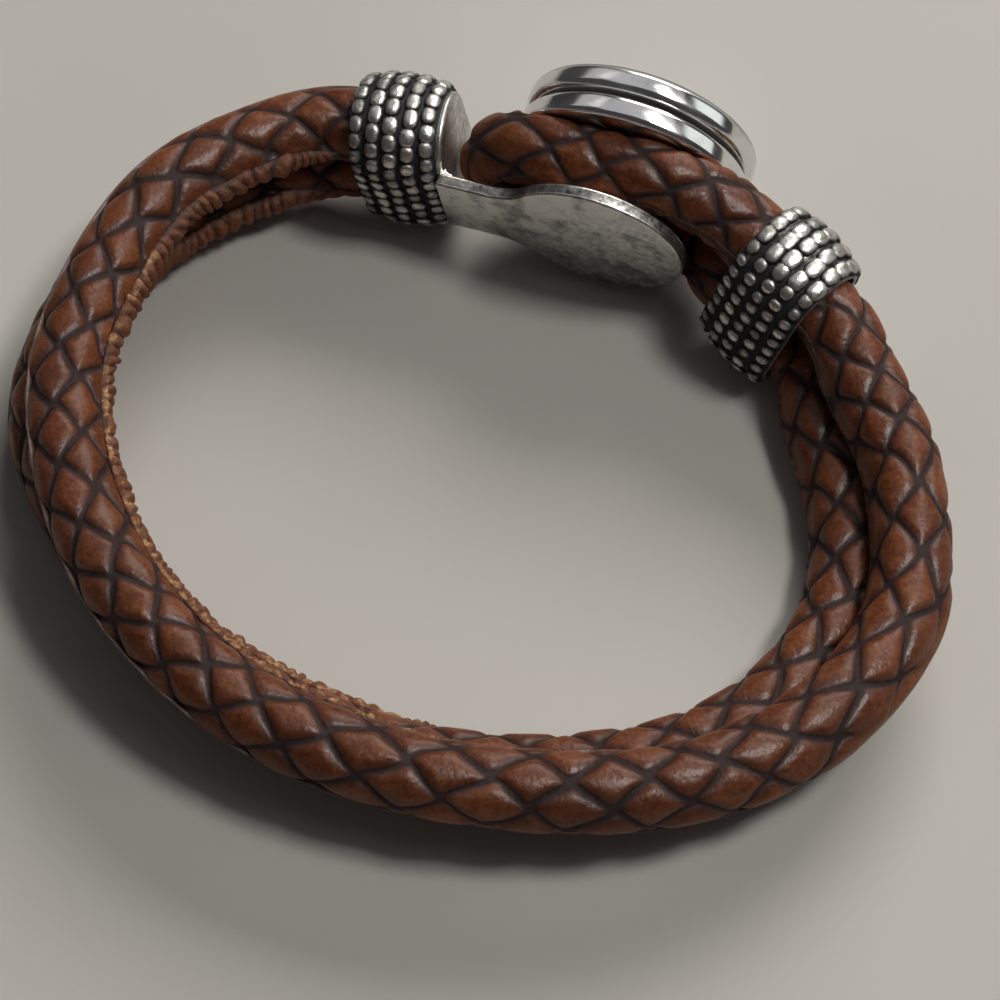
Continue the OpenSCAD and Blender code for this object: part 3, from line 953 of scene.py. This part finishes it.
blackened_silver = wear_and_shade_group()
cast_silver, tree = new_material("cast_blackened_silver")
old = silver(tree, attribute(tree, "worn"), 0.40)
surface(tree, {
    "Base Color": old["Colour"], "Roughness": old["Roughness"], "Metallic": old["Metal"],
    "Normal": bump(tree, old["Height"], 0.7, 0.00008)})
for piece, node in ((slider, "slider_collar"), (slider_grains, "slider_collar"), (collar, "clasp_casting"),
                    (collar_grains, "clasp_casting")):
    piece.data.materials.append(cast_silver)
    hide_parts(node)
    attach(piece, "bracelet")


# CLASP PLATE
# The spoon-shaped tongue of the casting, which lies against the wrist under the loop. It is as
# cast on its flat face, dull and pitted, and rubbed bright along its rounded edge.
plate_r = 7.4
plate_s = -0.6
plate_top = -3.45
plate_t = 1.2
neck_half = 3.5
neck_bow = 5.0
neck_over = 0.4
edge_round = 0.28
root_r = 0.7
root_in, root_sunk, root_lift, root_deep = 0.1, 0.05, 0.02, 0.8


def drawn_line(name, points):
    """A line drawn from point to point: a plane merged to one vertex, then extruded step by step."""
    bpy.ops.mesh.primitive_plane_add(size=1)
    made = bpy.context.object
    made.name = name
    made.data.name = name
    edit(made)
    bpy.ops.mesh.merge(type="CENTER")
    bpy.ops.transform.translate(value=points[0])
    for here, there in zip(points, points[1:]):
        move = tuple(b - a for a, b in zip(here, there))
        bpy.ops.mesh.extrude_vertices_move(TRANSFORM_OT_translate={"value": move})
    bpy.ops.object.mode_set(mode="OBJECT")
    return made


def draw_out(made, move):
    """Fills a closed line and draws it out to a solid."""
    edit(made)
    bpy.ops.mesh.edge_face_add()
    bpy.ops.mesh.extrude_region_move(TRANSFORM_OT_translate={"value": move})
    bpy.ops.mesh.select_all(action="SELECT")
    bpy.ops.mesh.normals_make_consistent(inside=False)
    bpy.ops.object.mode_set(mode="OBJECT")


def round_edges(made, width, segments, angle):
    rounding = made.modifiers.new("rounded_edge", "BEVEL")
    rounding.width = width
    rounding.segments = segments
    rounding.limit_method = "ANGLE"
    rounding.angle_limit = math.radians(angle)
    bpy.ops.object.modifier_apply(modifier="rounded_edge")


bow_x = -math.sqrt((plate_r + neck_bow) ** 2 - (neck_half + neck_bow) ** 2)
meet = math.atan2(neck_half + neck_bow, bow_x)
plate_low = plate_top - plate_t
half_plate = [
    (plate_s + plate_r * math.cos(a), plate_low, plate_r * math.sin(a))
    for a in np.linspace(0, meet, 44)
]
half_plate += [
    (plate_s + bow_x + neck_bow * math.cos(a), plate_low, neck_half + neck_bow + neck_bow * math.sin(a))
    for a in np.linspace(meet - math.pi, -math.pi / 2, 12)[1:]
]
half_plate += [(bend_s - neck_over, plate_low, neck_half)]
plate = drawn_line("clasp_plate", half_plate)
other_half = plate.modifiers.new("other_half", "MIRROR")
other_half.use_axis = (False, False, True)
other_half.merge_threshold = 0.01
bpy.ops.object.modifier_apply(modifier="other_half")
draw_out(plate, (0, plate_t, 0))
round_edges(plate, edge_round, segments=4, angle=50)


def plate_wear_and_shade(p):
    """Dull on its side, bright along its rounded edges, and on its faces painted shade, brighter towards
    the neck.
    """
    off_middle = abs(p[1] - plate_top + plate_t / 2)
    if off_middle < plate_t / 2 - 0.25:
        return 0.50
    if off_middle < plate_t / 2 - 0.01:
        return 1.35
    # Painted shade: the faces darken towards the far end and the lower edge, where they reflect the shadow
    # on the table.
    return 1.04 - 0.018 * (p[0] + 6) + 0.045 * p[2]


set_worn(plate, plate_wear_and_shade)
put(plate, clasp_frame)
# The root of the neck: up inside the collar's end, down round the fillet and back inside the plate
root_s = mouth + cap_t - root_sunk
fillet = [(mouth + root_in, plate_low + root_lift), (mouth + root_in, plate_top + root_r)]
fillet += [(root_s + root_r * (1 - math.cos(a)), plate_top + root_r * (1 - math.sin(a)))
           for a in np.linspace(0, math.pi / 2, 7)]
fillet += [(root_s + root_r, plate_top - root_deep), (root_s + root_r / 2, plate_low + root_lift)]
root = drawn_line("clasp_neck_root", [(x, y, root_in - neck_half) for x, y in fillet])
draw_out(root, (0, 0, 2 * (neck_half - root_in)))
round_edges(root, 0.12, segments=2, angle=60)
set_worn(root, lambda p: 1.1)
put(root, collar_frame)
bpy.ops.object.select_all(action="DESELECT")
root.select_set(True)
plate.select_set(True)
bpy.context.view_layer.objects.active = plate
bpy.ops.object.join()
finish_mesh(plate, angle=40, outwards=True)

dull_plate, tree = new_material("dull_pitted_plate")
worn = attribute(tree, "worn")
place = add(tree, "ShaderNodeTexCoord").outputs["Object"]
old = silver(tree, worn, 0.35)
patina = noise(tree, place, 460.0, 6.0, 0.6)
pits = add(tree, "ShaderNodeTexVoronoi", {"Vector": place, "Scale": 800.0, "Randomness": 1.0})
pit = calc(tree, "MULTIPLY", step(tree, pits.outputs["Distance"], 0.02, 0.12, 0.6, 1.0),
           step(tree, patina, 0.34, 0.54, 0.42, 1.0))
surface(tree, {
    "Base Color": mix(tree, pit, (0.03, 0.03, 0.035), old["Colour"]),
    "Roughness": step(tree, worn, 0.75, 1.2, 0.42, 0.24), "Metallic": old["Metal"],
    "Normal": bump(tree, calc(tree, "MULTIPLY_ADD", pit, 0.5, old["Height"]), 0.6, 0.00008)})
plate.data.materials.append(dull_plate)
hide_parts("clasp_casting")
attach(plate, "bracelet")


# SNAP SOCKET
# The polished round socket of the press stud, standing on a plain post on the plate. The loop
# of the cord goes round the post, and the socket keeps it there.
ring_low = 1.9
ring_top = 3.9
ring_round = 0.6
post_r = 1.8
post_sunk = 0.2
hole_r = 2.78
hole_mouth = 0.22
hole_lip = 0.15
hole_floor = 0.5


def turned(name, profile, steps=96):
    """A closed profile of (radius, height) points, spun about the snap's axis."""
    made = drawn_line(name, [(r, y, 0) for r, y in profile])
    edit(made)
    bpy.ops.mesh.spin(steps=steps, angle=2 * math.pi, center=(0, 0, 0), axis=(0, 1, 0))
    bpy.ops.mesh.select_all(action="SELECT")
    bpy.ops.mesh.remove_doubles(threshold=weld)
    bpy.ops.mesh.normals_make_consistent(inside=False)
    bpy.ops.object.mode_set(mode="OBJECT")
    return made


def rounded(r, low, high, edge, steps=8):
    """The rounded outer edge of a disc of radius r, from its lower to its upper face."""
    low_part = [(r - edge + edge * math.sin(a), low + edge - edge * math.cos(a))
                for a in np.linspace(0, math.pi / 2, steps)]
    high_part = [(r - edge + edge * math.cos(a), high - edge + edge * math.sin(a))
                 for a in np.linspace(0, math.pi / 2, steps)]
    return low_part + high_part


post = [(0, plate_top - post_sunk), (post_r, plate_top - post_sunk), (post_r, ring_low)]
hole = [(hole_r + hole_mouth, ring_top), (hole_r, ring_top - hole_lip),
        (hole_r, ring_low + hole_floor), (0, ring_low + hole_floor)]
socket = turned("snap_socket", post + rounded(snap_r, ring_low, ring_top, ring_round) + hole)
# Painted shade: the top face, in the narrow gap under the charm, is painted nearly black.
set_worn(socket, lambda p: 0.2 if p[1] > ring_top - 0.02 else 1.0)
put(socket, clasp_frame)
finish_mesh(socket, angle=40, outwards=True)

polished, tree = new_material("polished_silver_plate")
place = add(tree, "ShaderNodeTexCoord").outputs["Object"]
breath = noise(tree, place, 260.0, 4.0)
# Low values paint the gap under the charm dark as painted shade, and darken the charm's rim shoulder.
bright_part = attribute(tree, "worn")
tint = ramp(tree, breath, (0.32, (0.55, 0.54, 0.52)), (0.46, (0.74, 0.73, 0.72)), (0.7, (0.84, 0.83, 0.81)))
gloss = calc(tree, "ADD", step(tree, breath, 0.3, 0.75, 0.10, 0.22),
             step(tree, bright_part, 0.2, 0.9, 0.4, 0.0))
surface(tree, {
    "Base Color": mix(tree, bright_part, (0.020, 0.019, 0.018), tint), "Roughness": gloss,
    "Normal": bump(tree, noise(tree, place, 3500.0, 2.0), 0.12, 0.00002),
    "Metallic": step(tree, bright_part, 0.2, 0.8)})
socket.data.materials.append(polished)
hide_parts("clasp_casting")
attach(socket, "bracelet")


# SNAP CHARM
# The plain domed button with the other half of the press stud, cast and polished bright. It can
# be turned in its socket, and pulled off for another.
charm_low = 4.3
rim_top = 6.5
rim_round = 0.80
dome_h = 1.1
dome_r = 8.9
stud_r = 2.7
stud_h = 1.3
stud_lip = 0.2
dome = [(dome_r * t, rim_top + dome_h * (1 - t * t) ** 0.9) for t in np.linspace(0.98, 0, 22)]
stud_low = charm_low - stud_h
stud = [(0, stud_low), (stud_r - stud_lip, stud_low), (stud_r, stud_low + stud_lip), (stud_r, charm_low)]
charm = turned("snap_charm_button", stud + rounded(snap_r, charm_low, rim_top, rim_round) + dome)
# A narrow ring on the rim's upper shoulder, where it meets the dome, is painted darker.
set_worn(charm, lambda p: 1 - 0.9 * smooth(rim_top - 0.75, rim_top - 0.2, p[1])
         * smooth(8.4, 8.8, math.hypot(p[0], p[2])))
put(charm, clasp_frame)
finish_mesh(charm, angle=50, outwards=True)
charm.data.materials.append(polished)
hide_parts("snap_charm")
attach(charm, "charm")
